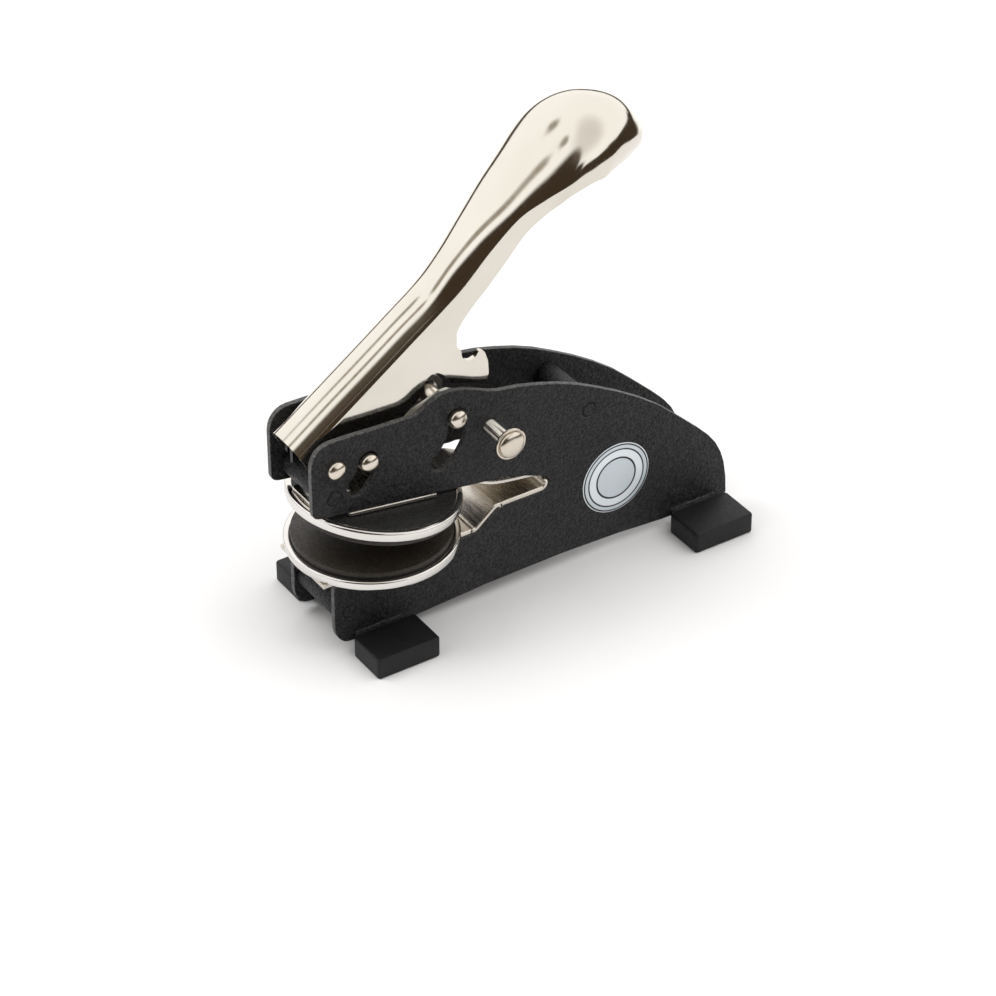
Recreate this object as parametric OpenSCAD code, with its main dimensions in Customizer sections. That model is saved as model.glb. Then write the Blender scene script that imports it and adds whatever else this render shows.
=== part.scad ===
// Hand-operated desk embossing press with a clip-in die set.
// Rows: X runs to the rear, Y across the press, Z up. The floor is Z = 0.
// The handle is drawn at rest, tilted up; every sub-part sits in its rest place.

/* [Side plates] */
// Half the distance between the outer faces of the two side plates
plate_y = 10.2; // [9:0.1:12]
// Thickness of each side plate
plate_t = 1.5; // [1:0.1:3]

/* [Feet] */
// Distance from the middle plane to the inner face of a boot
boot_in = 12.6; // [11:0.1:14]
// Distance from the middle plane to the outer face of a boot
boot_out = 24.15; // [20:0.05:28]
// Height of a boot
boot_h = 5.65; // [4:0.05:8]

/* [Pins] */
// Radius of the pivot, crank and guide pins
pin_r = 2.4; // [1.5:0.1:3]
// Half length of a pin between the bases of its domed ends
pin_half = 10.5; // [10:0.1:12]
// Height of each domed pin end
pin_dome = 1.6; // [0.5:0.1:2]

/* [Handle] */
// Half width of the handle across its flanges
handle_y = 6.4; // [5:0.1:8]
// Thickness of the handle sheet
sheet_t = 1.1; // [0.8:0.1:2]

/* [Die set] */
// Outer radius of the bright ring round each die
ring_r = 21.3; // [18:0.1:24]
// Radius of the die itself
die_r = 19.6; // [16:0.1:22]
// Thickness of the spring strap
strap_t = 1.2; // [0.8:0.1:2]
// Angle the upper die stands open at rest
open_deg = 8.5; // [6:0.1:10]

/* [Lock pin] */
// Radius of the lock pin's shaft
lock_r = 1.75; // [1:0.05:2.5]
// Radius of the lock pin's button
button_r = 4.1; // [2.5:0.1:5]

/* [Hidden] */
$fn = 64;
// shift that centres the part on the origin
ox = -50.65;
py = plate_y;
pin_y = plate_y - plate_t;
fit = 0.02;
run = 0.05;
// pivot, crank pin, guide pin, centre of the guide slot, bend of the strap, lock pin
p1 = [-2.0, 53.4];
p2 = [6.9, 52.2];
p3 = [31.3, 55.4];
pk = [20.9, 53.5];
pb = [55.2, 27.4];
pl = [40.6, 49.6];
// spacers: upper front, lower front, rear
s1 = [-2.3, 45.1];
s2 = [0.9, 11.2];
s3 = [69.1, 43.8];
slot_r = 2.7;
guide_rad = norm(p3 - pk);
guide_a0 = atan2(p3[1] - pk[1], p3[0] - pk[0]);
crank_a0 = atan2(p2[1] - p1[1], p2[0] - p1[0]);
die_x = 13.5;
// height of the round foot of the press link at rest
link_z = 40.83;

// round the outline once: nose, top edge, rear, foot line, lower jaw, throat, upper jaw
plate_pts = [
  [-8.4, 55.4], [-8.1, 57.3], [-7.3, 58.9], [-6.1, 60.1], [-4.6, 60.8], [-3.0, 61.0],
  [2.2, 60.9], [10.3, 60.4], [19.8, 60.1], [22.0, 61.0], [23.9, 62.3], [26.7, 63.4],
  [30.0, 63.4], [33.6, 62.6], [37.2, 61.1], [40.5, 59.6], [43.3, 58.7], [48.9, 57.8],
  [54.6, 56.3], [60.3, 54.5], [66.1, 52.1], [71.9, 49.1], [77.8, 45.8], [83.8, 42.0],
  [89.8, 37.6], [95.7, 32.3], [102.3, 26.1], [105.5, 22.8], [107.7, 19.9], [109.4, 16.5],
  [110.5, 13.1], [111.3, 8.2], [111.55, 3.5], [111.2, 2.8], [110.4, 2.6],
  [92.0, 2.6], [78.0, 3.6], [61.6, 4.1], [40.0, 3.8], [18.0, 2.6],
  [0.6, 2.6], [-0.9, 3.0], [-2.3, 4.4], [-3.1, 6.0], [-3.4, 7.8],
  [-3.4, 18.9], [-3.0, 19.9], [-2.0, 20.3],
  [36.9, 20.3], [42.6, 25.0], [56.0, 25.0], [57.2, 25.7], [57.8, 26.8], [57.7, 28.1],
  [56.8, 29.1], [54.7, 29.9], [48.9, 32.2], [43.2, 34.0],
  [41.0, 33.9], [-6.6, 41.0], [-7.9, 41.6], [-8.4, 42.8]
];

// flange outline of the handle below the spine
flange_pts = [
  [-8.4, 55.7], [-6.6, 52.4], [-5.98, 51.1], [-5.25, 50.15], [-4.3, 49.4], [-3.2, 48.96],
  [-2.0, 48.8], [-0.8, 48.9], [0.3, 49.45], [1.4, 49.95],
  [2.8, 49.95], [4.0, 49.6], [5.1, 49.05], [6.4, 48.63], [8.2, 48.85], [9.7, 49.9],
  [12.0, 52.2], [17.0, 56.6], [21.5, 60.2], [23.4, 61.8], [24.5, 62.6], [24.9, 63.6],
  [24.8, 65.2], [25.6, 66.4], [27.0, 67.1], [28.6, 66.9], [29.9, 66.0], [30.8, 65.0],
  [31.6, 63.8], [32.3, 62.7], [33.4, 62.4], [37.4, 61.0], [40.7, 59.5], [41.6, 59.6],
  [42.2, 60.3], [42.7, 61.9], [42.5, 65.3], [41.6, 68.1], [40.6, 69.0], [39.9, 68.9],
  [39.0, 67.6], [37.5, 67.2], [35.8, 67.8], [35.2, 69.2], [35.1, 70.6],
  [33.9, 72.2], [33.9, 76.2], [36.2, 79.6], [40.4, 83.6], [41.0, 86.0], [36.0, 85.6],
  [29.4, 81.4], [18.4, 73.6], [7.4, 66.0], [-2.2, 59.2]
];

// the flange on the far side has the same outline without the hook
flange_far_pts = concat(
  [for (i = [0 : 30]) flange_pts[i]],
  [[34.8, 62.6], [35.5, 63.6], [35.6, 66.0]],
  [for (i = [44 : len(flange_pts) - 1]) flange_pts[i]]
);

// handle stations: crown x, crown z, rim x, rim z, half width, rim half width, flange height
st = [
  [-10.3, 59.2, -6.6, 52.2, 6.4, 6.4, 4.4],
  [0.0, 66.5, 5.0, 59.4, 6.4, 6.4, 5.0],
  [10.0, 73.5, 15.0, 66.5, 6.4, 6.4, 5.0],
  [20.0, 80.6, 25.0, 73.6, 6.4, 6.4, 5.0],
  [28.0, 86.3, 32.9, 79.2, 6.5, 6.5, 5.1],
  [34.0, 92.4, 39.1, 83.2, 6.9, 6.9, 5.9],
  [40.4, 99.2, 45.5, 90.6, 7.8, 7.8, 6.0],
  [47.8, 106.2, 51.1, 98.4, 9.2, 9.2, 5.0],
  [54.3, 112.4, 55.5, 103.1, 11.1, 11.1, 3.9],
  [59.6, 117.4, 58.3, 105.5, 12.5, 12.5, 3.8],
  [64.1, 121.0, 60.8, 107.3, 13.3, 13.3, 3.6],
  [68.4, 123.3, 63.9, 108.3, 13.5, 13.5, 3.5],
  [73.1, 123.9, 67.2, 109.1, 13.5, 13.5, 3.4],
  [78.0, 122.9, 70.4, 109.0, 12.9, 12.9, 3.4],
  [82.1, 120.9, 73.6, 109.3, 11.5, 11.5, 3.3],
  [85.1, 118.0, 76.8, 109.3, 10.0, 10.0, 3.2],
  [87.2, 115.1, 80.1, 108.7, 8.1, 8.1, 3.0],
  [88.2, 112.3, 82.9, 108.0, 6.0, 6.0, 2.8],
  [88.5, 110.4, 85.0, 106.9, 3.6, 3.6, 2.4],
  [88.4, 109.4, 86.3, 106.1, 1.8, 1.8, 2.2]
];
nst = len(st);
// points on one side of a section, from the rim to just before the crown
nf = 3;
na = 12;
// smooth table lookup between stations
function cr(a, b, c, d, t) =
  0.5 * ((2 * b) + (c - a) * t + (2 * a - 5 * b + 4 * c - d) * t * t
  + (3 * b - a - 3 * c + d) * t * t * t);
function clampi(i) = max(0, min(nst - 1, i));
function row_at(i, t) = cr(st[clampi(i - 1)], st[i], st[clampi(i + 1)], st[clampi(i + 2)], t);
sub = 2;
rows = concat([for (i = [0 : nst - 2]) for (k = [0 : sub - 1]) row_at(i, k / sub)], [st[nst - 1]]);
nr = len(rows);
// outer outline of one section in its own plane: [across, up], rim to rim over the crown
function hc(r) = norm([r[0] - r[2], r[1] - r[3]]);
function nm(r) = r[6] + (hc(r) - r[6]) * 0.42 * min(1, max(0, (r[4] - r[5]) / 2));
function t0(r) = (r[4] - r[5] < 0.01) ? 0 : acos(min(1, r[5] / r[4]));
function half_out(r) = concat(
  [for (k = [0 : nf - 1]) [r[5], r[6] * k / nf]],
  [for (k = [0 : na]) let (a = -t0(r) + (90 + t0(r)) * k / na)
    [r[4] * cos(a), a < 0 ? nm(r) + (nm(r) - r[6]) * sin(a) / sin(t0(r))
      : nm(r) + (hc(r) - nm(r)) * sin(a)]]
);
function full_out(r) = let (h = half_out(r), n = len(h))
  concat(h, [for (k = [n - 2 : -1 : 0]) [-h[k][0], h[k][1]]]);
function unit(v) = v / max(norm(v), 0.0001);
function full_in(r) = let (o = full_out(r), n = len(o))
  [for (k = [0 : n - 1])
    let (a = o[max(k - 1, 0)], b = o[min(k + 1, n - 1)], t = unit(b - a))
    let (w = (k == 0 || k == n - 1) ? [(k == 0 ? 1 : -1), 0] : [t[1], -t[0]])
    [o[k][0] - sheet_t * w[0], max(o[k][1] - sheet_t * w[1], 0)]];
function place(r, q) = let (d = unit([r[0] - r[2], r[1] - r[3]]))
  [r[2] + d[0] * q[1], q[0], r[3] + d[1] * q[1]];
function loop_at(r) = let (o = full_out(r), i = full_in(r), n = len(o))
  concat([for (k = [0 : n - 1]) place(r, o[k])], [for (k = [n - 1 : -1 : 0]) place(r, i[k])]);
loops = [for (r = rows) loop_at(r)];
nl = len(loops[0]);
nh = nl / 2;

// place a side-view outline between two values of Y
module slab(pts, y0, y1) {
  translate([0, y1, 0])
    rotate([90, 0, 0])
      linear_extrude(y1 - y0)
        polygon(pts);
}

// round bar across the press at a side-view point
module bar(p, r, y0, y1) {
  translate([p[0], y1, p[1]])
    rotate([90, 0, 0])
      cylinder(h = y1 - y0, r = r);
}

// round pin with a shallow dome at both ends
module domed_bar(p, r, half, dome) {
  translate([p[0], 0, p[1]])
    rotate([90, 0, 0])
      rotate_extrude()
        polygon(concat(
          [[0, -half - dome]],
          [for (k = [1 : 6]) [r * sin(15 * k), -half - dome * cos(15 * k)]],
          [for (k = [6 : -1 : 1]) [r * sin(15 * k), half + dome * cos(15 * k)]],
          [[0, half + dome]]
        ));
}

// curved slot along an arc with round ends, cut across both plates
module arc_slot(c, rad, a0, a1, r) {
  hi = max(a0, a1);
  lo = min(a0, a1);
  e1 = c + rad * [cos(hi), sin(hi)];
  e0 = c + rad * [cos(lo), sin(lo)];
  slab(concat(
    [for (k = [0 : 16]) let (a = lo + (hi - lo) * k / 16) c + (rad + r) * [cos(a), sin(a)]],
    [for (k = [1 : 11]) let (a = hi + 15 * k) e1 + r * [cos(a), sin(a)]],
    [for (k = [16 : -1 : 0]) let (a = lo + (hi - lo) * k / 16) c + (rad - r) * [cos(a), sin(a)]],
    [for (k = [1 : 11]) let (a = lo + 180 + 15 * k) e0 + r * [cos(a), sin(a)]]
  ), -20, 20);
}

module plate_blank(s) {
  slab(plate_pts, s > 0 ? pin_y : -py, s > 0 ? py : -pin_y);
  for (x = [[2.0, 15.4], [94.4, 107.8]])
    translate([x[0], s > 0 ? pin_y : -22.0, 2.6])
      cube([x[1] - x[0], 22.0 - pin_y, plate_t]);
}

module plate_holes() {
  bar(p1, pin_r + fit, -20, 20);
  arc_slot(p1, norm(p2 - p1), crank_a0 + 1, crank_a0 - 44, slot_r);
  arc_slot(pk, guide_rad, guide_a0 + 1, guide_a0 - 68, slot_r);
  bar(s1, 1.9 + fit, -20, 20);
  bar(s2, 1.9 + fit, -20, 20);
  bar(s3, 1.9 + fit, -20, 20);
}

module side_plate_near() {
  color([0.06, 0.06, 0.06])
    translate([ox, 0, 0])
      difference() {
        plate_blank(-1);
        plate_holes();
        bar(pl, lock_r + run, -20, 0);
      }
}

module side_plate_far() {
  color([0.06, 0.06, 0.06])
    translate([ox, 0, 0])
      difference() {
        plate_blank(1);
        plate_holes();
      }
}

module spacer(p, r) {
  bar(p, r, -pin_y, pin_y);
  bar(p, 1.9, -py, py);
}

module spacer_upper_front() {
  color([0.07, 0.07, 0.07])
    translate([ox, 0, 0])
      spacer(s1, 3.3);
}

module spacer_lower_front() {
  color([0.07, 0.07, 0.07])
    translate([ox, 0, 0])
      spacer(s2, 3.5);
}

module spacer_rear() {
  color([0.07, 0.07, 0.07])
    translate([ox, 0, 0])
      spacer(s3, 3.3);
}

module pivot_pin() {
  color([0.75, 0.72, 0.66])
    translate([ox, 0, 0])
      domed_bar(p1, pin_r, pin_half, pin_dome);
}

// rubber boot pushed on to a turned-out tab of a side plate
module boot(x0, len, s) {
  w = boot_out - boot_in;
  c = 0.8;
  color([0.03, 0.03, 0.03])
    translate([ox + x0, s > 0 ? boot_in : -boot_out, 0])
      difference() {
        union() {
          translate([c, 0, 0])
            cube([len - 2 * c, w, boot_h]);
          translate([0, c, 0])
            cube([len, w - 2 * c, boot_h]);
          for (x = [c, len - c])
            for (y = [c, w - c])
              translate([x, y, 0])
                cylinder(h = boot_h, r = c);
        }
        translate([2.0 - fit, s > 0 ? -1 : boot_out - 22.0 - fit, 2.6 - fit])
          cube([13.4 + 2 * fit, 22.0 - boot_in + 1 + fit, plate_t + 2 * fit]);
      }
}

module boot_front_near() {
  boot(0, 17.4, -1);
}

module boot_front_far() {
  boot(0, 17.4, 1);
}

module boot_rear_near() {
  boot(92.4, 17.4, -1);
}

module boot_rear_far() {
  boot(92.4, 17.4, 1);
}

module badge() {
  color([0.75, 0.78, 0.8])
    translate([ox, 0, 0])
      bar([77.3, 20.9], 9.8, -py - 0.3, -py);
}

// torsion spring round the pivot; the coils are drawn as touching rings
module return_spring() {
  color([0.5, 0.5, 0.5])
    translate([ox + p1[0], 0, p1[1]]) {
      rotate([90, 0, 0])
        for (k = [0 : 8])
          translate([0, 0, -4 + k])
            rotate_extrude()
              translate([3.1, 0])
                circle(r = 0.52, $fn = 24);
      translate([-3.1, 4, -4.9])
        cylinder(h = 4.9, r = 0.5, $fn = 24);
      translate([-1.8, -4, 2.5])
        rotate([0, 54.8, 0])
          cylinder(h = 6, r = 0.5, $fn = 24);
    }
}

// folded sheet spine that swells into a hollow grip
module spine() {
  polyhedron(
    points = [for (l = loops) for (p = l) p],
    faces = concat(
      [for (i = [0 : nr - 2]) for (k = [0 : nl - 1])
        [i * nl + k, (i + 1) * nl + (k + 1) % nl, i * nl + (k + 1) % nl]],
      [for (i = [0 : nr - 2]) for (k = [0 : nl - 1])
        [i * nl + k, (i + 1) * nl + k, (i + 1) * nl + (k + 1) % nl]],
      [for (k = [0 : nh - 2]) [k + 1, nl - 1 - k, k]],
      [for (k = [0 : nh - 2]) [k + 1, nl - 2 - k, nl - 1 - k]],
      [for (k = [0 : nh - 2]) let (b = (nr - 1) * nl) [b + k, b + nl - 1 - k, b + k + 1]],
      [for (k = [0 : nh - 2]) let (b = (nr - 1) * nl) [b + k + 1, b + nl - 1 - k, b + nl - 2 - k]]
    )
  );
}

module handle() {
  color([0.78, 0.75, 0.7])
    translate([ox, 0, 0])
      difference() {
        union() {
          spine();
          slab(flange_far_pts, handle_y - sheet_t, handle_y);
          slab(flange_pts, -handle_y, -handle_y + sheet_t);
        }
        bar(p1, pin_r + run, -20, 20);
        bar(p2, pin_r + fit, -20, 20);
      }
}

module crank_pin() {
  color([0.75, 0.72, 0.66])
    translate([ox, 0, 0])
      domed_bar(p2, pin_r, pin_half, pin_dome);
}

// two cheeks joined by a round foot that bears on the die carrier
link_pts = [
  [3.2, 51.4], [3.2, 53.4], [4.6, 55.2], [7.4, 56.0], [14.0, 55.4], [22.0, 57.0],
  [28.6, 59.2], [30.4, 59.9], [32.6, 59.9], [34.6, 58.8], [35.8, 56.8], [35.8, 54.4],
  [34.8, 52.4], [32.4, 51.0], [26.0, 48.6], [21.4, 45.4], [19.3, 41.6], [18.6, 39.5],
  [17.3, 38.3], [15.6, 38.3], [14.2, 39.4], [11.6, 42.0], [5.4, 48.7], [4.0, 49.8]
];

module press_link() {
  color([0.45, 0.44, 0.42])
    translate([ox, 0, 0])
      difference() {
        union() {
          slab(link_pts, 3.3, 4.9);
          slab(link_pts, -4.9, -3.3);
          bar([16.5, link_z], 3.0, -4.9, 4.9);
        }
        bar(p2, pin_r + run, -20, 20);
        bar(p3 + [-0.4, -0.05], pin_r + 0.4, -20, 20);
        bar(p3 + [0.35, -0.05], pin_r + 0.4, -20, 20);
      }
}

module guide_pin() {
  color([0.75, 0.72, 0.66])
    translate([ox, 0, 0])
      domed_bar(p3, pin_r, pin_half, pin_dome);
}

module lock_shaft() {
  color([0.72, 0.7, 0.66])
    translate([ox, 0, 0])
      bar(pl, lock_r, -18.4, -6.9);
}

module lock_button() {
  color([0.78, 0.75, 0.7])
    translate([ox + pl[0], -18.4, pl[1]])
      rotate([90, 0, 0])
        rotate_extrude()
          polygon(concat(
            [[0, 0], [button_r, 0], [button_r, 1.2]],
            [for (k = [0 : 5]) [(button_r - 0.3) * cos(15 * k), 1.2 + 1.0 * sin(15 * k)]],
            [[0, 2.2]]
          ));
}

// side view of the hairpin bend between two angles, as a closed outline
function bend_pts(a0, a1) = concat(
  [for (a = [a0 : 10 : a1]) pb + 2.3 * [cos(a), sin(a)]],
  [for (a = [a1 : -10 : a0]) pb + (2.3 - strap_t) * [cos(a), sin(a)]]
);

module strap_lower() {
  color([0.78, 0.78, 0.78])
    translate([ox, 0, 0])
      difference() {
        union() {
          slab(concat(
            [[-6, 21.6], [-6, 20.4], [36.6, 20.4], [42.3, 25.1]],
            bend_pts(-90, 0),
            [[41.85, 26.3], [36.15, 21.6]]
          ), -py, py);
          slab(bend_pts(-20, 80), -8.2, 8.2);
        }
        for (x = [4.5, 22.5])
          translate([x, 0, 19])
            cylinder(h = 4, r = 1.3);
      }
}

module lower_disc() {
  color([0.05, 0.05, 0.05])
    translate([ox + die_x, 0, 21.6])
      cylinder(h = 2.4, r = ring_r - 1.6, $fn = 96);
}

module lower_ring() {
  color([0.8, 0.8, 0.8])
    translate([ox + die_x, 0, 21.6])
      difference() {
        cylinder(h = 2.4, r = ring_r, $fn = 96);
        translate([0, 0, -1])
          cylinder(h = 5, r = ring_r - 1.58, $fn = 96);
      }
}

module lower_die() {
  color([0.12, 0.11, 0.1])
    translate([ox + die_x, 0, 24.0])
      cylinder(h = 1.4, r = die_r, $fn = 96);
}

// two flat-headed rivets through the strap and the backing disc
module rivet_pair(z0, z1, zh, hh) {
  for (x = [4.5, 22.5])
    translate([x, 0, 0]) {
      translate([0, 0, z0])
        cylinder(h = z1 - z0, r = 1.3);
      translate([0, 0, zh])
        cylinder(h = hh, r = 2.2);
    }
}

module lower_rivets() {
  color([0.7, 0.7, 0.68])
    translate([ox, 0, 0])
      rivet_pair(20.4, 21.6, 19.8, 0.6);
}

// turn the upper half of the die set from its closed place to its rest place
module opened() {
  translate([ox + pb[0], 0, pb[1]])
    rotate([0, open_deg, 0])
      translate([-pb[0], 0, -pb[1]])
        children();
}

module carrier() {
  color([0.8, 0.8, 0.8])
    opened()
      difference() {
        union() {
          translate([0.5, -10.0, 30.3])
            cube([24.5, 20.0, strap_t]);
          translate([-6.0, -6.0, 30.3])
            cube([7.0, 12.0, strap_t]);
          slab([[24, 31.5], [36, 31.5], [38.5, 31.1], [41.5, 30.2], [44.5, 29.8], [48, 29.7],
            [55.0, 29.7], [55.0, 28.5], [48, 28.5], [44.3, 28.6], [41.0, 29.05],
            [38.1, 29.95], [35.7, 30.3], [24, 30.3]], -8.2, 8.2);
        }
        for (x = [4.5, 22.5])
          translate([x, 0, 29])
            cylinder(h = 5, r = 1.3);
      }
}

module upper_disc() {
  color([0.05, 0.05, 0.05])
    opened()
      translate([die_x, 0, 27.7])
        cylinder(h = 2.6, r = ring_r - 1.6, $fn = 96);
}

module upper_ring() {
  color([0.8, 0.8, 0.8])
    opened()
      translate([die_x, 0, 27.7])
        difference() {
          cylinder(h = 2.6, r = ring_r, $fn = 96);
          translate([0, 0, -1])
            cylinder(h = 5, r = ring_r - 1.58, $fn = 96);
        }
}

module upper_die() {
  color([0.12, 0.11, 0.1])
    opened()
      translate([die_x, 0, 25.7])
        cylinder(h = 2.0, r = die_r, $fn = 96);
}

module upper_rivets() {
  color([0.7, 0.7, 0.68])
    opened()
      rivet_pair(30.3, 31.5, 31.5, 0.6);
}

side_plate_near();
side_plate_far();
spacer_upper_front();
spacer_lower_front();
spacer_rear();
pivot_pin();
boot_front_near();
boot_front_far();
boot_rear_near();
boot_rear_far();
badge();
return_spring();
handle();
crank_pin();
press_link();
guide_pin();
lock_shaft();
lock_button();
strap_lower();
lower_disc();
lower_ring();
lower_die();
lower_rivets();
carrier();
upper_disc();
upper_ring();
upper_die();
upper_rivets();
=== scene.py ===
import bmesh
import bpy
import math
import numpy as np
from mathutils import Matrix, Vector
from mathutils.geometry import tessellate_polygon


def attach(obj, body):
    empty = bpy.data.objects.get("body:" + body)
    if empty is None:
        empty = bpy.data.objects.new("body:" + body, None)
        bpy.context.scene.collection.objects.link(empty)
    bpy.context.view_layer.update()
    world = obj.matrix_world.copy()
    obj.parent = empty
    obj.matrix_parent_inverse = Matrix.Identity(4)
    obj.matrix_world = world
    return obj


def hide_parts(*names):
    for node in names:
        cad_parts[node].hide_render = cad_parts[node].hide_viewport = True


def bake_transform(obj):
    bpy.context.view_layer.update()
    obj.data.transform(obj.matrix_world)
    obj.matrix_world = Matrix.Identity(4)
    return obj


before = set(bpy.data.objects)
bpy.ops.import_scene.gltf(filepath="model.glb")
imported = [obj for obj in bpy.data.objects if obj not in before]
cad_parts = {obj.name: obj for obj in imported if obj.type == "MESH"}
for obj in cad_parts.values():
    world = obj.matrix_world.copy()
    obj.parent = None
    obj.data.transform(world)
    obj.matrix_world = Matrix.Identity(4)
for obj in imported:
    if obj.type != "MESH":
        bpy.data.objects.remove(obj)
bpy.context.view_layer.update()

# The design's own coordinates are in mm with X = 0 at the front boots; OX centres them on the row frame.
OX = -50.65
MM = 0.001
NEAR, FAR = -1, 1

# ------------------------------------------------------------------ camera
AZ, EL, DIST = math.radians(-33.27), math.radians(35.23), 0.8712
BACK = Vector((math.sin(AZ) * math.cos(EL), -math.cos(AZ) * math.cos(EL), math.sin(EL)))
TARGET = Vector((-0.00117, 0.0, 0.01943))
cam = bpy.data.objects.new("camera", bpy.data.cameras.new("camera"))
bpy.context.scene.collection.objects.link(cam)
cam.location = TARGET + BACK * DIST
cam.rotation_euler = (math.pi / 2 - EL, 0.0, AZ)
cam.data.lens, cam.data.sensor_width = 129.06, 36.0
cam.data.clip_start, cam.data.clip_end = 0.05, 20.0
bpy.context.scene.camera = cam


# ------------------------------------------------------------------ small helpers
def mesh_obj(name, verts, faces, smooth=True, angle=None):
    me = bpy.data.meshes.new(name)
    me.from_pydata([tuple(v) for v in verts], [], [tuple(f) for f in faces])
    me.validate()
    ob = bpy.data.objects.new(name, me)
    bpy.context.scene.collection.objects.link(ob)
    if smooth:
        me.polygons.foreach_set("use_smooth", [True] * len(me.polygons))
        if angle:
            me.set_sharp_from_angle(angle=math.radians(angle))
    return ob


def baked(ob):
    """Applies the modifiers, or turns a curve into a mesh, and keeps the name."""
    bpy.context.view_layer.update()
    deps = bpy.context.evaluated_depsgraph_get()
    me = bpy.data.meshes.new_from_object(ob.evaluated_get(deps))
    me.transform(ob.matrix_world)
    name, mats = ob.name, [s.material for s in ob.material_slots]
    bpy.data.objects.remove(ob)
    new = bpy.data.objects.new(name, me)
    bpy.context.scene.collection.objects.link(new)
    return new


def joined(name, parts, angle=35):
    verts, faces = [], []
    for p in parts:
        base = len(verts)
        m = p.matrix_world
        verts += [tuple(m @ v.co) for v in p.data.vertices]
        faces += [[base + i for i in f.vertices] for f in p.data.polygons]
        bpy.data.objects.remove(p)
    return mesh_obj(name, verts, faces, True, angle)


def pt(x, y, z):
    return ((x + OX) * MM, y * MM, z * MM)


def fillet(pts, r=3.0, seg=4, radii=None):
    """Rounds a closed outline's corners; radii gives a corner's own radius by index."""
    out, n = [], len(pts)
    for i in range(n):
        p, a, b = (Vector(pts[k % n]) for k in (i, i - 1, i + 1))
        u, v = (a - p), (b - p)
        lu, lv = u.length, v.length
        rad = (radii or {}).get(i, r)
        turn = math.pi - u.angle(v)
        d = min(rad * math.tan(turn / 2), 0.47 * lu, 0.47 * lv)
        if d < 0.01:
            out.append(tuple(p))
            continue
        s, e = p + u / lu * d, p + v / lv * d
        for k in range(seg + 1):
            t = k / seg
            out.append(tuple(s * (1 - t) ** 2 + p * 2 * t * (1 - t) + e * t * t))
    return out


def circle(c, r, n=40):
    return [(c[0] + r * math.cos(2 * math.pi * k / n), c[1] + r * math.sin(2 * math.pi * k / n)) for k in range(n)]


def arc_slot(c, rad, a0, a1, r):
    lo, hi = min(a0, a1), max(a0, a1)
    D = math.radians
    e = lambda a: (c[0] + rad * math.cos(D(a)), c[1] + rad * math.sin(D(a)))
    out = []
    for k in range(25):
        a = lo + (hi - lo) * k / 24
        out.append((c[0] + (rad + r) * math.cos(D(a)), c[1] + (rad + r) * math.sin(D(a))))
    for k in range(1, 12):
        a = hi + 15 * k
        out.append((e(hi)[0] + r * math.cos(D(a)), e(hi)[1] + r * math.sin(D(a))))
    for k in range(24, -1, -1):
        a = lo + (hi - lo) * k / 24
        out.append((c[0] + (rad - r) * math.cos(D(a)), c[1] + (rad - r) * math.sin(D(a))))
    for k in range(1, 12):
        a = lo + 180 + 15 * k
        out.append((e(lo)[0] + r * math.cos(D(a)), e(lo)[1] + r * math.sin(D(a))))
    return out


def sheet_part(name, outline, holes, y0, y1, edge=0.16):
    """A flat stamped part in the XZ plane between two values of Y, with softly rolled edges."""
    cu = bpy.data.curves.new(name, "CURVE")
    cu.dimensions, cu.fill_mode = "2D", "BOTH"
    cu.extrude = ((y1 - y0) / 2 - edge) * MM
    cu.bevel_depth, cu.bevel_resolution, cu.offset = edge * MM, 2, -edge * MM
    area = sum(outline[i - 1][0] * outline[i][1] - outline[i][0] * outline[i - 1][1] for i in range(len(outline)))
    loops = [outline if area > 0 else outline[::-1]]
    for h in holes:
        area = sum(h[i - 1][0] * h[i][1] - h[i][0] * h[i - 1][1] for i in range(len(h)))
        loops.append(h[::-1] if area > 0 else h)
    for lp in loops:
        sp = cu.splines.new("POLY")
        sp.points.add(len(lp) - 1)
        for q, p in zip(lp, sp.points):
            p.co = ((q[0] + OX) * MM, q[1] * MM, 0, 1)
        sp.use_cyclic_u = True
    ob = bpy.data.objects.new(name, cu)
    bpy.context.scene.collection.objects.link(ob)
    ob.rotation_euler = (math.pi / 2, 0, 0)
    ob.location = (0, (y0 + y1) / 2 * MM, 0)
    return baked(ob)


def lathe(name, prof, c, axis="Y", seg=96):
    """Turns [(r, h), ...] round an axis through the design point c. h runs along the axis."""
    verts, faces, n = [], [], len(prof)
    for r, h in prof:
        for k in range(seg):
            a = 2 * math.pi * k / seg
            if axis == "Y":
                verts.append(pt(c[0] + r * math.cos(a), h, c[1] + r * math.sin(a)))
            else:
                verts.append(pt(c[0] + r * math.cos(a), c[1] + r * math.sin(a), h))
    for i in range(n - 1):
        for k in range(seg):
            q = (i * seg + k, i * seg + (k + 1) % seg, (i + 1) * seg + (k + 1) % seg, (i + 1) * seg + k)
            faces.append(q if axis != "Y" else q[::-1])
    ob = mesh_obj(name, verts, faces)
    bm = bmesh.new()
    bm.from_mesh(ob.data)
    bmesh.ops.remove_doubles(bm, verts=bm.verts, dist=1e-7)
    bmesh.ops.recalc_face_normals(bm, faces=bm.faces)
    bm.to_mesh(ob.data)
    bm.free()
    ob.data.polygons.foreach_set("use_smooth", [True] * len(ob.data.polygons))
    ob.data.set_sharp_from_angle(angle=math.radians(50))
    return ob


def round_prof(pts, r=0.2, seg=4):
    """Rounds the inner corners of an open lathe profile."""
    out = [pts[0]]
    for i in range(1, len(pts) - 1):
        p, a, b = Vector(pts[i]), Vector(pts[i - 1]), Vector(pts[i + 1])
        u, v = a - p, b - p
        d = min(r, 0.45 * u.length, 0.45 * v.length)
        s, e = p + u.normalized() * d, p + v.normalized() * d
        for k in range(seg + 1):
            t = k / seg
            out.append(tuple(s * (1 - t) ** 2 + p * 2 * t * (1 - t) + e * t * t))
    return out + [pts[-1]]


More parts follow.
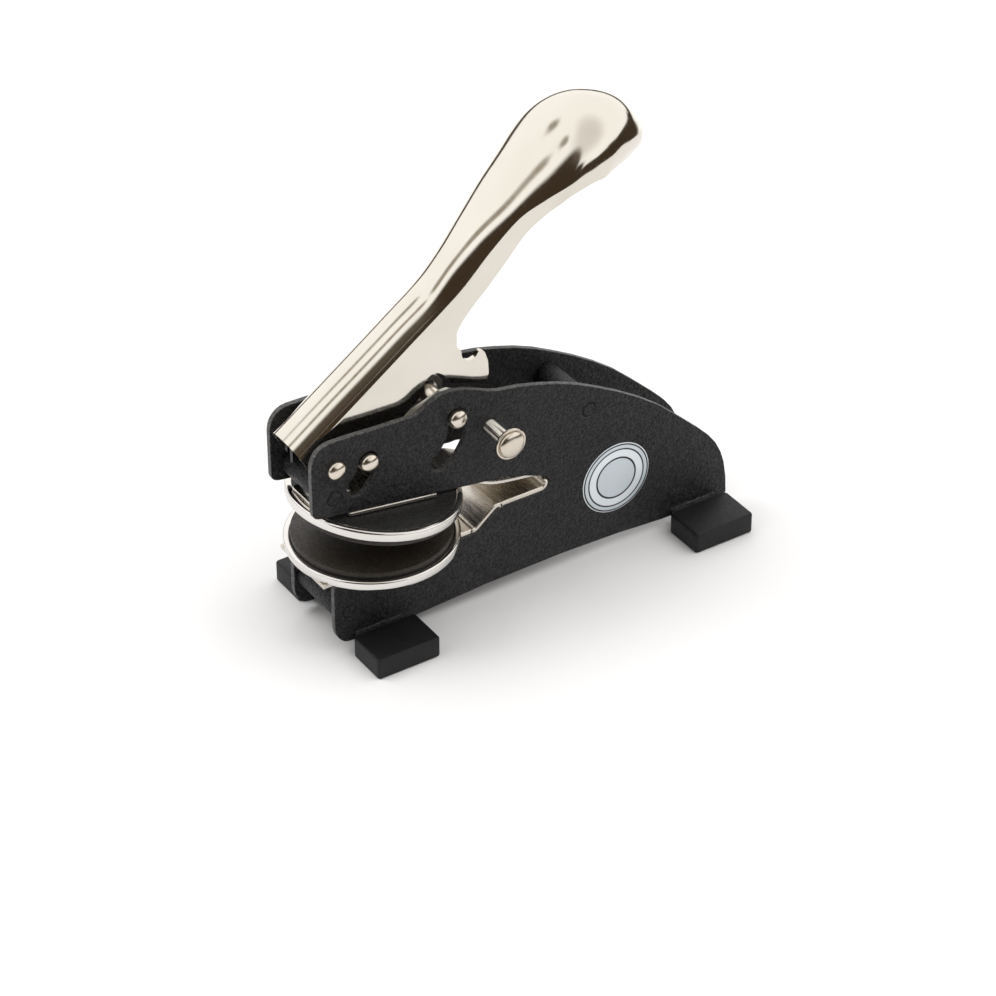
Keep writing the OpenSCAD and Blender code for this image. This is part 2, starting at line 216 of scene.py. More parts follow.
# ------------------------------------------------------------------ materials
def new_mat(name):
    m = bpy.data.materials.new(name)
    m.use_nodes = True
    nt = m.node_tree
    b = nt.nodes["Principled BSDF"]
    tc = nt.nodes.new("ShaderNodeTexCoord")
    return m, nt, b, tc.outputs["Object"]


def noise(nt, co, scale, detail=2.0, rough=0.5, stretch=None):
    if stretch:
        mp = nt.nodes.new("ShaderNodeMapping")
        mp.inputs["Scale"].default_value = stretch
        nt.links.new(co, mp.inputs["Vector"])
        co = mp.outputs["Vector"]
    n = nt.nodes.new("ShaderNodeTexNoise")
    n.inputs["Scale"].default_value = scale
    n.inputs["Detail"].default_value = detail
    n.inputs["Roughness"].default_value = rough
    nt.links.new(co, n.inputs["Vector"])
    return n.outputs["Fac"]


def ramp(nt, fac, stops):
    r = nt.nodes.new("ShaderNodeValToRGB")
    el = r.color_ramp.elements
    while len(el) < len(stops):
        el.new(0.5)
    for e, (p, c) in zip(el, stops):
        e.position, e.color = p, (*c, 1)
    nt.links.new(fac, r.inputs["Fac"])
    return r.outputs["Color"]


def span(nt, fac, lo, hi, a=0.3, b=0.7):
    m = nt.nodes.new("ShaderNodeMapRange")
    for k, v in zip(("From Min", "From Max", "To Min", "To Max"), (a, b, lo, hi)):
        m.inputs[k].default_value = v
    nt.links.new(fac, m.inputs["Value"])
    return m.outputs["Result"]


def bump(nt, b, fac, strength, dist, chain=None):
    n = nt.nodes.new("ShaderNodeBump")
    n.inputs["Strength"].default_value = strength
    n.inputs["Distance"].default_value = dist
    nt.links.new(fac, n.inputs["Height"])
    if chain is not None:
        nt.links.new(chain, n.inputs["Normal"])
    nt.links.new(n.outputs["Normal"], b.inputs["Normal"])
    return n.outputs["Normal"]


def wrinkle_black(name, lo=(0.002, 0.002, 0.0024), hi=(0.030, 0.0295, 0.0315), spec=0.26, grain=1.6):
    """Fine wrinkle powder coat: small soft bumps with a satin sheen."""
    m, nt, b, co = new_mat(name)
    fine = noise(nt, co, 2100, 3.0, 0.6)
    mid = noise(nt, co, 1000, 2.0, 0.5)
    nt.links.new(ramp(nt, fine, [(0.40, lo), (0.62, hi)]), b.inputs["Base Color"])
    nt.links.new(span(nt, mid, 0.36, 0.56), b.inputs["Roughness"])
    b.inputs["Specular IOR Level"].default_value = spec
    c = bump(nt, b, fine, 0.8 * grain, 0.0003)
    bump(nt, b, mid, 0.5 * grain, 0.0005, c)
    return m


def plated(name, lo, hi, rough, streak=None, wave=0.0, fleck=0.05):
    """Bright plated metal: slight colour drift, faint polishing marks, and a little waviness in the sheet."""
    m, nt, b, co = new_mat(name)
    b.inputs["Metallic"].default_value = 1.0
    drift = noise(nt, co, 60, 3.0)
    nt.links.new(ramp(nt, drift, [(0.3, lo), (0.7, hi)]), b.inputs["Base Color"])
    marks = noise(nt, co, 900 if not streak else 260, 3.0, 0.6, streak)
    nt.links.new(span(nt, marks, rough * 0.8, rough * 1.35), b.inputs["Roughness"])
    c = bump(nt, b, marks, fleck, 0.00004)
    if wave:
        bump(nt, b, noise(nt, co, 90, 1.0), wave, 0.0006, c)
    return m


def painted_glint_bar(name, stretch, scale=1300, dark=(0.03, 0.028, 0.026), light=(0.92, 0.88, 0.80)):
    """Bar whose base colour is streaked dark and light one way: painted highlight stripes standing in for reflections
    along its length.
    """
    m, nt, b, co = new_mat(name)
    b.inputs["Metallic"].default_value = 0.15
    nt.links.new(ramp(nt, noise(nt, co, scale, 1.0, 0.5, stretch), [(0.43, dark), (0.53, light)]), b.inputs["Base Color"])
    nt.links.new(span(nt, noise(nt, co, 500, 2.0), 0.22, 0.34), b.inputs["Roughness"])
    return m


def rubber(name):
    m, nt, b, co = new_mat(name)
    n = noise(nt, co, 1500, 2.0)
    nt.links.new(ramp(nt, noise(nt, co, 120, 3.0), [(0.3, (0.004, 0.004, 0.0045)), (0.7, (0.008, 0.008, 0.009))]), b.inputs["Base Color"])
    nt.links.new(span(nt, n, 0.46, 0.62), b.inputs["Roughness"])
    b.inputs["Specular IOR Level"].default_value = 0.3
    bump(nt, b, n, 0.12, 0.00008)
    return m


def badge_mat(name, cx, cz):
    """Silver foil sticker with plain printed rings."""
    m, nt, b, co = new_mat(name)
    mp = nt.nodes.new("ShaderNodeMapping")
    mp.inputs["Location"].default_value = (-cx, 0, -cz)
    nt.links.new(co, mp.inputs["Vector"])
    sx = nt.nodes.new("ShaderNodeSeparateXYZ")
    nt.links.new(mp.outputs["Vector"], sx.inputs[0])
    cb = nt.nodes.new("ShaderNodeCombineXYZ")
    nt.links.new(sx.outputs["X"], cb.inputs["X"])
    nt.links.new(sx.outputs["Z"], cb.inputs["Y"])
    ln = nt.nodes.new("ShaderNodeVectorMath")
    ln.operation = "LENGTH"
    nt.links.new(cb.outputs[0], ln.inputs[0])
    r = nt.nodes.new("ShaderNodeMath")
    r.operation = "DIVIDE"
    r.inputs[1].default_value = 0.0098
    nt.links.new(ln.outputs["Value"], r.inputs[0])
    ink, foil, pale = (0.012, 0.014, 0.018), (0.60, 0.66, 0.70), (0.78, 0.83, 0.86)
    col = ramp(nt, r.outputs[0], [(0.0, foil), (0.55, foil), (0.56, ink), (0.60, ink), (0.61, pale), (0.80, pale),
                                  (0.81, ink), (0.84, ink), (0.85, foil), (0.93, foil), (0.94, ink), (0.97, ink), (0.98, pale)])
    nt.nodes[-1].color_ramp.interpolation = "LINEAR"
    nt.links.new(col, b.inputs["Base Color"])
    b.inputs["Metallic"].default_value = 0.55
    nt.links.new(span(nt, noise(nt, co, 700, 2.0), 0.30, 0.42), b.inputs["Roughness"])
    return m


M = {
    "plate": wrinkle_black("wrinkle_black"),
    # stamped rim: lighter base colour, partly a thinner coat and partly a painted highlight
    "edge": wrinkle_black("wrinkle_black_rim_painted_highlight", (0.010, 0.010, 0.010), (0.085, 0.083, 0.08), 0.6),
    "disc": wrinkle_black("wrinkle_black_disc", (0.004, 0.004, 0.004), (0.017, 0.0165, 0.016), 0.35, 0.7),
    "handle": plated("bright_nickel", (0.635, 0.600, 0.535), (0.68, 0.645, 0.585), 0.10, None, 0.015),
    "pin": plated("nickel_pin", (0.60, 0.54, 0.46), (0.70, 0.64, 0.56), 0.2, None, 0.10, 0.12),
    "ring": plated("polished_chrome", (0.66, 0.64, 0.61), (0.72, 0.70, 0.67), 0.08),
    "strap": plated("spring_steel", (0.55, 0.51, 0.45), (0.74, 0.70, 0.64), 0.24, (6.0, 0.4, 6.0), 0.12),
    "link": plated("zinc_plate", (0.34, 0.33, 0.30), (0.48, 0.47, 0.43), 0.32),
    "spring_wire": plated("blued_spring_wire", (0.05, 0.05, 0.052), (0.09, 0.09, 0.095), 0.3),
    "rivet": plated("rivet_steel", (0.45, 0.44, 0.42), (0.56, 0.55, 0.52), 0.28),
    # lock pin shaft: painted highlight stripes in the base colour
    "shaft": painted_glint_bar("pin_shaft_painted_highlights", (1.0, 0.02, 1.0)),
    "boot": rubber("boot_rubber"),
    "die": wrinkle_black("die_face", (0.012, 0.009, 0.006), (0.030, 0.024, 0.018), 0.4, 0.3),
    "badge": badge_mat("foil_badge", (77.3 + OX) * MM, 20.9 * MM),
}


def finish_piece(ob, body, slot, *nodes):
    ob.data.materials.clear()
    ob.data.materials.append(M[slot])
    if slot == "plate" and "side_plate" in ob.name:
        # the stamped rim, apart from the bottom edge, gets a lighter base colour: partly a thinner coat, partly a
        # painted highlight where the rim catches the light
        ob.data.materials.append(M["edge"])
        for f in ob.data.polygons:
            f.material_index = int(abs(f.normal.y) < 0.93 and f.center.z > 0.0046)
    if body:
        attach(ob, body)
    if nodes:
        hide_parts(*nodes)
    return ob


# ------------------------------------------------------------------ design numbers, in mm
P1, P2, P3, PK, PB, PL = (-2.0, 53.4), (6.9, 52.2), (31.3, 55.4), (20.9, 53.5), (55.2, 27.4), (40.6, 49.6)
S1, S2, S3 = (-2.3, 45.1), (0.9, 11.2), (69.1, 43.8)
PY, PT = 10.2, 1.5
DIE_X = 13.5
PLATE = [
    (-8.4, 55.4), (-8.1, 57.3), (-7.3, 58.9), (-6.1, 60.1), (-4.6, 60.8), (-3.0, 61.0),
    (2.2, 60.9), (10.3, 60.4), (19.8, 60.1), (22.0, 61.0), (23.9, 62.3), (26.7, 63.4),
    (30.0, 63.4), (33.6, 62.6), (37.2, 61.1), (40.5, 59.6), (43.3, 58.7), (48.9, 57.8),
    (54.6, 56.3), (60.3, 54.5), (66.1, 52.1), (71.9, 49.1), (77.8, 45.8), (83.8, 42.0),
    (89.8, 37.6), (95.7, 32.3), (102.3, 26.1), (105.5, 22.8), (107.7, 19.9), (109.4, 16.5),
    (110.5, 13.1), (111.3, 8.2), (111.55, 3.5), (111.2, 2.8), (110.4, 2.6),
    (92.0, 2.6), (78.0, 3.6), (61.6, 4.1), (40.0, 3.8), (18.0, 2.6),
    (0.6, 2.6), (-0.9, 3.0), (-2.3, 4.4), (-3.1, 6.0), (-3.4, 7.8),
    (-3.4, 18.9), (-3.0, 19.9), (-2.0, 20.3),
    (36.9, 20.3), (42.6, 25.0), (56.0, 25.0), (57.2, 25.7), (57.8, 26.8), (57.7, 28.1),
    (56.8, 29.1), (54.7, 29.9), (48.9, 32.2), (43.2, 34.0),
    (41.0, 33.9), (-6.6, 41.0), (-7.9, 41.6), (-8.4, 42.8),
]
FLANGE = [
    (-6.6, 52.4), (-5.98, 51.1), (-5.25, 50.15), (-4.3, 49.4), (-3.2, 48.96), (-2.0, 48.8),
    (-0.8, 48.9), (0.3, 49.45), (1.4, 49.95), (2.8, 49.95), (4.0, 49.6), (5.1, 49.05), (6.4, 48.63),
    (8.2, 48.85), (9.7, 49.9), (12.0, 52.2), (17.0, 56.6), (21.5, 60.2), (23.4, 61.8), (24.5, 62.6),
    (24.9, 63.6), (24.8, 65.2), (25.6, 66.4), (27.0, 67.1), (28.6, 66.9), (29.9, 66.0), (30.8, 65.0),
    (31.6, 63.8), (32.3, 62.7), (33.4, 62.4), (37.4, 61.0), (40.7, 59.5), (41.6, 59.6), (42.2, 60.3),
    (42.7, 61.9), (42.5, 65.3), (41.6, 68.1), (40.6, 69.0), (39.9, 68.9), (39.0, 67.6), (37.5, 67.2),
    (35.8, 67.8), (35.2, 69.2), (35.1, 70.6), (33.9, 72.2), (33.9, 76.2), (36.2, 79.6),
]
CUT = FLANGE.index((33.4, 62.4))
FLANGE_FAR = FLANGE[:CUT + 1] + [(34.8, 62.6), (35.5, 63.6), (35.6, 66.0)] + FLANGE[FLANGE.index((35.1, 70.6)):]
# crown x, crown z, rim x, rim z, half width, rim half width, flange height
ST = np.array([
    [-10.3, 59.2, -6.6, 52.2, 6.4, 6.4, 4.4],
    [0.0, 66.5, 5.0, 59.4, 6.4, 6.4, 5.0],
    [10.0, 73.5, 15.0, 66.5, 6.4, 6.4, 5.0],
    [20.0, 80.6, 25.0, 73.6, 6.4, 6.4, 5.0],
    [28.0, 86.3, 32.9, 79.2, 6.5, 6.5, 5.1],
    [34.0, 92.4, 39.1, 83.2, 6.9, 6.9, 5.9],
    [40.4, 99.2, 45.5, 90.6, 7.8, 7.8, 6.0],
    [47.8, 106.2, 51.1, 98.4, 9.2, 9.2, 5.0],
    [54.3, 112.4, 55.5, 103.1, 11.1, 11.1, 3.9],
    [59.6, 117.4, 58.3, 105.5, 12.5, 12.5, 3.8],
    [64.1, 121.0, 60.8, 107.3, 13.3, 13.3, 3.6],
    [68.4, 123.3, 63.9, 108.3, 13.5, 13.5, 3.5],
    [73.1, 123.9, 67.2, 109.1, 13.5, 13.5, 3.4],
    [78.0, 122.9, 70.4, 109.0, 12.9, 12.9, 3.4],
    [82.1, 120.9, 73.6, 109.3, 11.5, 11.5, 3.3],
    [85.1, 118.0, 76.8, 109.3, 10.0, 10.0, 3.2],
    [87.2, 115.1, 80.1, 108.7, 8.1, 8.1, 3.0],
    [88.2, 112.3, 82.9, 108.0, 6.0, 6.0, 2.8],
    [88.5, 110.4, 85.0, 106.9, 3.6, 3.6, 2.4],
    [88.4, 109.4, 86.3, 106.1, 1.8, 1.8, 2.2],
])
NECK = 5
CREASE = 0.55


# ------------------------------------------------------------------ side plates
def side_plate(name, s, node):
    rad = math.hypot(P2[0] - P1[0], P2[1] - P1[1])
    a2 = math.degrees(math.atan2(P2[1] - P1[1], P2[0] - P1[0]))
    gr = math.hypot(P3[0] - PK[0], P3[1] - PK[1])
    a3 = math.degrees(math.atan2(P3[1] - PK[1], P3[0] - PK[0]))
    holes = [circle(c, 2.02, 28) for c in (S1, S2, S3)] + [arc_slot(P1, rad, a2 + 1, a2 - 44, 2.65), arc_slot(PK, gr, a3 + 1, a3 - 68, 2.65)]
    if s < 0:
        holes.append(circle(PL, 1.95))
    y0, y1 = sorted((s * PY, s * (PY - PT)))
    parts = [sheet_part(name + "_blank", fillet(PLATE, 5.0), holes, y0, y1)]
    # turned-out tabs, with a real bend radius at the root
    ri, t, y_in, y_out = 1.3, PT, PY - 0.75, 22.0
    prof = [(y_in, 8.5), (PY - 0.02, 8.5)]
    for k in range(9):
        a = math.radians(10 * k + 5)
        prof.append((PY - 0.02 + ri - ri * math.cos(a), 4.1 + ri - ri * math.sin(a)))
    prof += [(y_out, 4.1), (y_out, 2.6)]
    ro = 1.6
    for k in range(9):
        a = math.radians(90 - 10 * k - 5)
        prof.append((y_in + ro - ro * math.cos(a), 2.6 + ro - ro * math.sin(a)))
    for x0, x1 in ((2.0, 15.4), (94.4, 107.8)):
        n = len(prof)
        xs = [x0, x0 + 0.15, x1 - 0.15, x1]
        verts = [pt(x, s * y, z) for x in xs for y, z in prof]
        faces = [[i * n + k, i * n + (k + 1) % n, (i + 1) * n + (k + 1) % n, (i + 1) * n + k] for i in range(3) for k in range(n)]
        faces += [list(range(n)), list(range(4 * n - 1, 3 * n - 1, -1))]
        if s > 0:
            faces = [f[::-1] for f in faces]
        parts.append(mesh_obj("tab", verts, faces))
    return finish_piece(joined(name, parts, 38), "frame", "plate", node)


side_plate("near_side_plate", NEAR, "side_plate_near")
side_plate("far_side_plate", FAR, "side_plate_far")


def spacer(name, c, r, node):
    prof = [(0, -PY - 0.02), (1.6, -PY - 0.02), (1.8, -PY + 0.12), (1.86, -PY + 0.3), (1.86, -PY + PT - 0.1), (r - 0.25, -PY + PT), (r, -PY + PT + 0.3)]
    prof += [(p[0], -p[1]) for p in prof[::-1]]
    return finish_piece(lathe(name, prof, c), "frame", "plate", node)


spacer("upper_front_spacer", S1, 3.3, "spacer_upper_front")
spacer("lower_front_spacer", S2, 3.5, "spacer_lower_front")
spacer("rear_spacer", S3, 3.3, "spacer_rear")


# ------------------------------------------------------------------ pins
def head(r, y0, h):
    return [(r, y0), (r * 0.985, y0 + 0.22 * h), (r * 0.93, y0 + 0.45 * h), (r * 0.80, y0 + 0.68 * h),
            (r * 0.60, y0 + 0.85 * h), (r * 0.36, y0 + 0.95 * h), (r * 0.15, y0 + 0.99 * h), (0, y0 + h)]


def pin(name, c, body, node, r=2.4):
    up = head(r, PY + 0.4, 1.6)
    prof = [(p[0], -p[1]) for p in up[::-1]] + up
    return finish_piece(lathe(name, prof, c, seg=72), body, "pin", node)


pin("pivot_rivet", P1, "frame", "pivot_pin")
pin("crank_rivet", P2, "handle", "crank_pin")
pin("guide_rivet", P3, "guide_pin", "guide_pin")

shaft = lathe("lock_pin_shaft", round_prof([(0, -18.35), (1.75, -18.35), (1.75, -7.2), (1.45, -6.9), (0, -6.9)], 0.1), PL, seg=64)
finish_piece(shaft, "lock_pin", "pin", "lock_shaft")
# the shaft's light stripes are painted highlights in its base colour
shaft.data.materials[0] = M["shaft"]
bprof = [(0, -18.4), (3.75, -18.4), (4.0, -18.5), (4.1, -18.75), (4.1, -19.1), (4.02, -19.26), (3.8, -19.32), (3.62, -19.26),
         (3.5, -19.08), (3.42, -19.08), (3.4, -19.45), (3.34, -19.7), (3.1, -19.98), (2.6, -20.24), (1.9, -20.43), (1.0, -20.56), (0, -20.6)]
finish_piece(lathe("lock_pin_button", bprof, PL, seg=96), "lock_pin", "pin", "lock_button")


# ------------------------------------------------------------------ boots
def boot(name, x0, s, node):
    w, d, h = 17.4, 24.15 - 12.6, 5.65
    bm = bmesh.new()
    bmesh.ops.create_cube(bm, size=1.0)
    for v in bm.verts:
        v.co = Vector(((x0 + w / 2 + v.co.x * w + OX) * MM, s * (12.6 + d / 2 + v.co.y * d) * MM, (h / 2 + v.co.z * h) * MM))
    bmesh.ops.recalc_face_normals(bm, faces=bm.faces)
    upright = [e for e in bm.edges if abs((e.verts[0].co - e.verts[1].co).normalized().z) > 0.9]
    bmesh.ops.bevel(bm, geom=upright, offset=0.9 * MM, segments=5, affect="EDGES", profile=0.5)
    flat = [e for e in bm.edges if len(e.link_faces) == 2 and e.calc_face_angle(0) > 1.2 and abs(e.verts[0].co.z - e.verts[1].co.z) < 1e-6]
    bmesh.ops.bevel(bm, geom=flat, offset=0.55 * MM, segments=4, affect="EDGES", profile=0.5)
    me = bpy.data.meshes.new(name)
    bm.to_mesh(me)
    bm.free()
    ob = bpy.data.objects.new(name, me)
    bpy.context.scene.collection.objects.link(ob)
    me.polygons.foreach_set("use_smooth", [True] * len(me.polygons))
    me.set_sharp_from_angle(angle=math.radians(40))
    return finish_piece(ob, "frame", "boot", node)


boot("boot_near_front", 0.0, NEAR, "boot_front_near")
boot("boot_far_front", 0.0, FAR, "boot_front_far")
boot("boot_near_rear", 92.4, NEAR, "boot_rear_near")
boot("boot_far_rear", 92.4, FAR, "boot_rear_far")

finish_piece(lathe("foil_badge", [(0, -PY), (9.75, -PY), (9.8, -PY - 0.08), (9.7, -PY - 0.14), (9.0, -PY - 0.18), (0, -PY - 0.2)], (77.3, 20.9)),
             "frame", "badge", "badge")


# ------------------------------------------------------------------ return spring
def tube(name, path, r, seg=14):
    path = [Vector(p) for p in path]
    verts, faces, n = [], [], len(path)
    side = Vector((0.3, 0.1, 1)).normalized()
    for i, p in enumerate(path):
        t = (path[min(i + 1, n - 1)] - path[max(i - 1, 0)]).normalized()
        side = (side - t * side.dot(t)).normalized()
        other = t.cross(side)
        for k in range(seg):
            a = 2 * math.pi * k / seg
            q = p + (side * math.cos(a) + other * math.sin(a)) * r
            verts.append(pt(*q))
    for i in range(n - 1):
        for k in range(seg):
            faces.append((i * seg + k, i * seg + (k + 1) % seg, (i + 1) * seg + (k + 1) % seg, (i + 1) * seg + k))
    faces += [tuple(range(seg - 1, -1, -1)), tuple(range((n - 1) * seg, n * seg))]
    return mesh_obj(name, verts, faces, True, 60)


coil = [(P1[0] - 3.1, 4.2, 48.6), (P1[0] - 3.1, 4.2, 51.5)]
for k in range(8 * 32 + 9):
    a = math.pi + 2 * math.pi * k / 32
    coil.append((P1[0] + 3.1 * math.cos(a), 4.1 - 8.2 * k / (8 * 32 + 9), P1[1] + 3.1 * math.sin(a)))
coil += [(coil[-1][0] + 2.0, -4.1, coil[-1][2] + 1.6), (coil[-1][0] + 4.6, -4.1, coil[-1][2] + 3.2)]
finish_piece(tube("return_spring_coil", coil, 0.5), "frame", "spring_wire", "return_spring")


# ------------------------------------------------------------------ handle
def catmull(tab, sub):
    out, n = [], len(tab)
    at = lambda i: tab[max(0, min(n - 1, i))]
    for i in range(n - 1):
        a, b, c, d = at(i - 1), at(i), at(i + 1), at(i + 2)
        for k in range(sub):
            t = k / sub
            out.append(0.5 * (2 * b + (c - a) * t + (2 * a - 5 * b + 4 * c - d) * t * t + (3 * b - a - 3 * c + d) * t ** 3))
    out.append(tab[-1])
    return np.array(out)


def handle():
    sub, na = 7, 22
    rows = catmull(ST, sub)
    cut = len(rows) - 1 - 3 * sub
    rows = np.array([r for i, r in enumerate(rows) if i <= cut or (i - cut) % 3 == 0])
    for r in rows:
        r[4] = max(r[4], r[5])
    neck = NECK * sub
    grid = []
    for r in rows:
        c, m = np.array([r[0], r[1]]), np.array([r[2], r[3]])
        hc = np.linalg.norm(c - m)
        d = (c - m) / hc
        w, wr, nt_ = r[4], r[5], r[6]
        nm = nt_ + (hc - nt_) * 0.42 * min(1, max(0, (w - wr) / 2))
        t0 = math.acos(min(1, wr / w))
        half = [(wr, 0.0), (wr, (nt_ - 1) * 0.5), (wr, nt_ - 1.0), (wr, nt_ - 0.35)]
        h = hc - nt_
        tau = math.pi / 2 - 2 * math.atan(min(1, h / w))
        big = w / math.cos(tau)
        for k in range(na + 1):
            a = -t0 + (math.pi / 2 + t0) * k / na
            if a < 0:
                n_ = nm + (nm - nt_) * math.sin(a) / math.sin(t0)
            else:
                n_ = nm + (hc - nm) * math.sin(a)
            y_ = w * math.cos(a)
            if h < w:
                th = tau + (math.pi / 2 - tau) * k / na
                f = CREASE * min(1, (w - h) / (0.25 * w))
                y_, n_ = y_ * (1 - f) + big * math.cos(th) * f, n_ * (1 - f) + (nt_ + big * (math.sin(th) - math.sin(tau))) * f
            half.append((y_, n_))
        full = [(-y, n_) for y, n_ in half] + [(y, n_) for y, n_ in half[-2::-1]]
        grid.append([(m[0] + d[0] * n_, y, m[1] + d[1] * n_) for y, n_ in full])
    nrow = len(grid[0])
    verts = [pt(*p) for g in grid for p in g]
    faces = []
    for i in range(len(grid) - 1):
        for k in range(nrow - 1):
            if i < neck and (k < 2 or k >= nrow - 3):
                continue
            faces.append((i * nrow + k, i * nrow + k + 1, (i + 1) * nrow + k + 1, (i + 1) * nrow + k))
    # flat cheeks below the spine
    for side in (0, 1):
        low = fillet(FLANGE_FAR if side else FLANGE, 1.2, 3)[2:-2]
        row = 2 if side == 0 else nrow - 3
        loop = [i * nrow + row for i in range(neck + 1)]
        loop += [neck * nrow + (1 if side == 0 else nrow - 2), neck * nrow + (0 if side == 0 else nrow - 1)]
        y = -6.4 if side == 0 else 6.4
        base = len(verts)
        lowp = [(rows[0][2], rows[0][3])] + low
        verts += [pt(p[0], y, p[1]) for p in lowp[::-1]]
        loop += list(range(base, len(verts)))
        tri = tessellate_polygon([[Vector((verts[i][0], verts[i][2], 0)) for i in loop]])
        for t in tri:
            f = [loop[t[0]], loop[t[1]], loop[t[2]]]
            a, b, c = (Vector(verts[j]) for j in f)
            if ((b - a).cross(c - a).y > 0) != (side == 1):
                f = f[::-1]
            faces.append(tuple(f))
    faces.append(tuple(range((len(grid) - 1) * nrow, len(grid) * nrow)))
    ob = mesh_obj("handle_shell", verts, faces)
    bm = bmesh.new()
    bm.from_mesh(ob.data)
    loose = [v for v in bm.verts if not v.link_faces]
    bmesh.ops.delete(bm, geom=loose, context="VERTS")
    bmesh.ops.recalc_face_normals(bm, faces=bm.faces)
    top = max(bm.faces, key=lambda f: f.calc_center_median().z)
    if top.normal.z < 0:
        bmesh.ops.reverse_faces(bm, faces=bm.faces)
    bm.to_mesh(ob.data)
    bm.free()
    ob.data.polygons.foreach_set("use_smooth", [True] * len(ob.data.polygons))
    so = ob.modifiers.new("sheet", "SOLIDIFY")
    so.thickness, so.offset, so.use_even_offset, so.use_quality_normals = 1.1 * MM, -1, True, True
    # the sheet thins where the nose closes in
    vg = ob.vertex_groups.new(name="sheet")
    end = Vector(pt(*grid[-1][nrow // 2]))
    for v in ob.data.vertices:
        vg.add([v.index], min(1.0, max(0.0, ((v.co - end).length / MM - 3.0) / 9.0)), "REPLACE")
    so.vertex_group, so.thickness_vertex_group = "sheet", 0.3
    be = ob.modifiers.new("edge", "BEVEL")
    be.width, be.segments, be.limit_method, be.angle_limit, be.harden_normals = 0.2 * MM, 3, "ANGLE", math.radians(50), True
    ob = baked(ob)
    for v in ob.data.vertices:
        v.co.z = min(v.co.z, 123.88 * MM)
    return finish_piece(ob, "handle", "handle", "handle")


handle()


# ------------------------------------------------------------------ press link
LINK = [
    (3.2, 51.4), (3.2, 53.4), (4.6, 55.2), (7.4, 56.0), (14.0, 55.4), (22.0, 57.0),
    (28.6, 59.2), (30.4, 59.9), (32.6, 59.9), (34.6, 58.8), (35.8, 56.8), (35.8, 54.4),
    (34.8, 52.4), (32.4, 51.0), (26.0, 48.6), (21.4, 45.4), (19.3, 41.6), (18.6, 39.5),
    (17.3, 38.3), (15.6, 38.3), (14.2, 39.4), (11.6, 42.0), (5.4, 48.7), (4.0, 49.8),
]
eye = [(P3[0] - 0.4 + 2.8 * math.cos(math.radians(a)), P3[1] + 2.8 * math.sin(math.radians(a))) for a in range(90, 271, 12)]
eye += [(P3[0] + 0.35 + 2.8 * math.cos(math.radians(a)), P3[1] + 2.8 * math.sin(math.radians(a))) for a in range(-90, 91, 12)]
link = joined("press_link_cheeks", [
    sheet_part("cheek_a", fillet(LINK, 1.5), [eye], 3.3, 4.9),
    sheet_part("cheek_b", fillet(LINK, 1.5), [eye], -4.9, -3.3),
    lathe("foot", round_prof([(0, -4.9), (3.0, -4.9), (3.0, 4.9), (0, 4.9)], 0.3), (16.5, 40.83), seg=48)], 40)
finish_piece(link, "press_link", "link", "press_link")


# ------------------------------------------------------------------ die set
def opened(p, deg=8.5):
    a = math.radians(deg)
    x, z = p[0] - PB[0], p[2] - PB[1]
    return (PB[0] + x * math.cos(a) + z * math.sin(a), p[1], PB[1] - x * math.sin(a) + z * math.cos(a))


def tilt(ob):
    for v in ob.data.vertices:
        q = opened((v.co.x / MM - OX, v.co.y / MM, v.co.z / MM))
        v.co = Vector(pt(*q))
    return ob


R, RI, RD = 21.3, 19.7, 19.6


def ring_prof(z0, z1):
    pr = [(RI, z0 + 0.1), (RI + 0.1, z0), (R - 0.45, z0), (R - 0.12, z0 + 0.15), (R, z0 + 0.5), (R, z1 - 0.5),
          (R - 0.12, z1 - 0.15), (R - 0.45, z1), (RI + 0.15, z1), (RI, z1 - 0.12), (RI, z0 + 0.1)]
    return pr


def disc_prof(z0, z1, r, e=0.25):
    return [(0, z0), (r - e, z0), (r, z0 + e * 0.6), (r, z1 - e), (r - e * 0.3, z1 - e * 0.3), (r - e, z1), (0, z1)]


c0 = (DIE_X, 0)
finish_piece(tilt(lathe("upper_chrome_ring", ring_prof(27.7, 30.3), c0, "Z", 160)), "upper_die", "ring", "upper_ring")
finish_piece(tilt(lathe("upper_backing", disc_prof(27.7, 30.15, 19.68), c0, "Z", 128)), "upper_die", "disc", "upper_disc")
finish_piece(tilt(lathe("upper_die_block", disc_prof(25.7, 27.7, RD, 0.35), c0, "Z", 128)), "upper_die", "die", "upper_die")
finish_piece(lathe("lower_chrome_ring", ring_prof(21.6, 24.0), c0, "Z", 160), "die_set", "ring", "lower_ring")
finish_piece(lathe("lower_backing", disc_prof(21.6, 23.95, 19.68), c0, "Z", 128), "die_set", "disc", "lower_disc")
finish_piece(lathe("lower_die_block", disc_prof(24.0, 25.4, RD, 0.35), c0, "Z", 128), "die_set", "die", "lower_die")


def rivets(name, z0, z1, zh, hh, up, body, node):
    parts = []
    for x in (4.5, 22.5):
        tip = zh + hh if up else zh
        root = zh if up else zh + hh
        s = 1 if up else -1
        prof = [(0, root - s * 0.6), (1.3, root - s * 0.6), (1.3, root), (2.2, root), (2.2, root + s * 0.15), (1.9, root + s * 0.42), (1.2, root + s * 0.56), (0, tip)]
        parts.append(lathe(name, prof, (x, 0), "Z", 40))
    ob = joined(name, parts, 50)
    if up:
        tilt(ob)
    return finish_piece(ob, body, "rivet", node)


rivets("upper_rivet_heads", 30.3, 31.5, 31.5, 0.6, True, "upper_die", "upper_rivets")
rivets("lower_rivet_heads", 20.4, 21.6, 19.8, 0.6, False, "die_set", "lower_rivets")


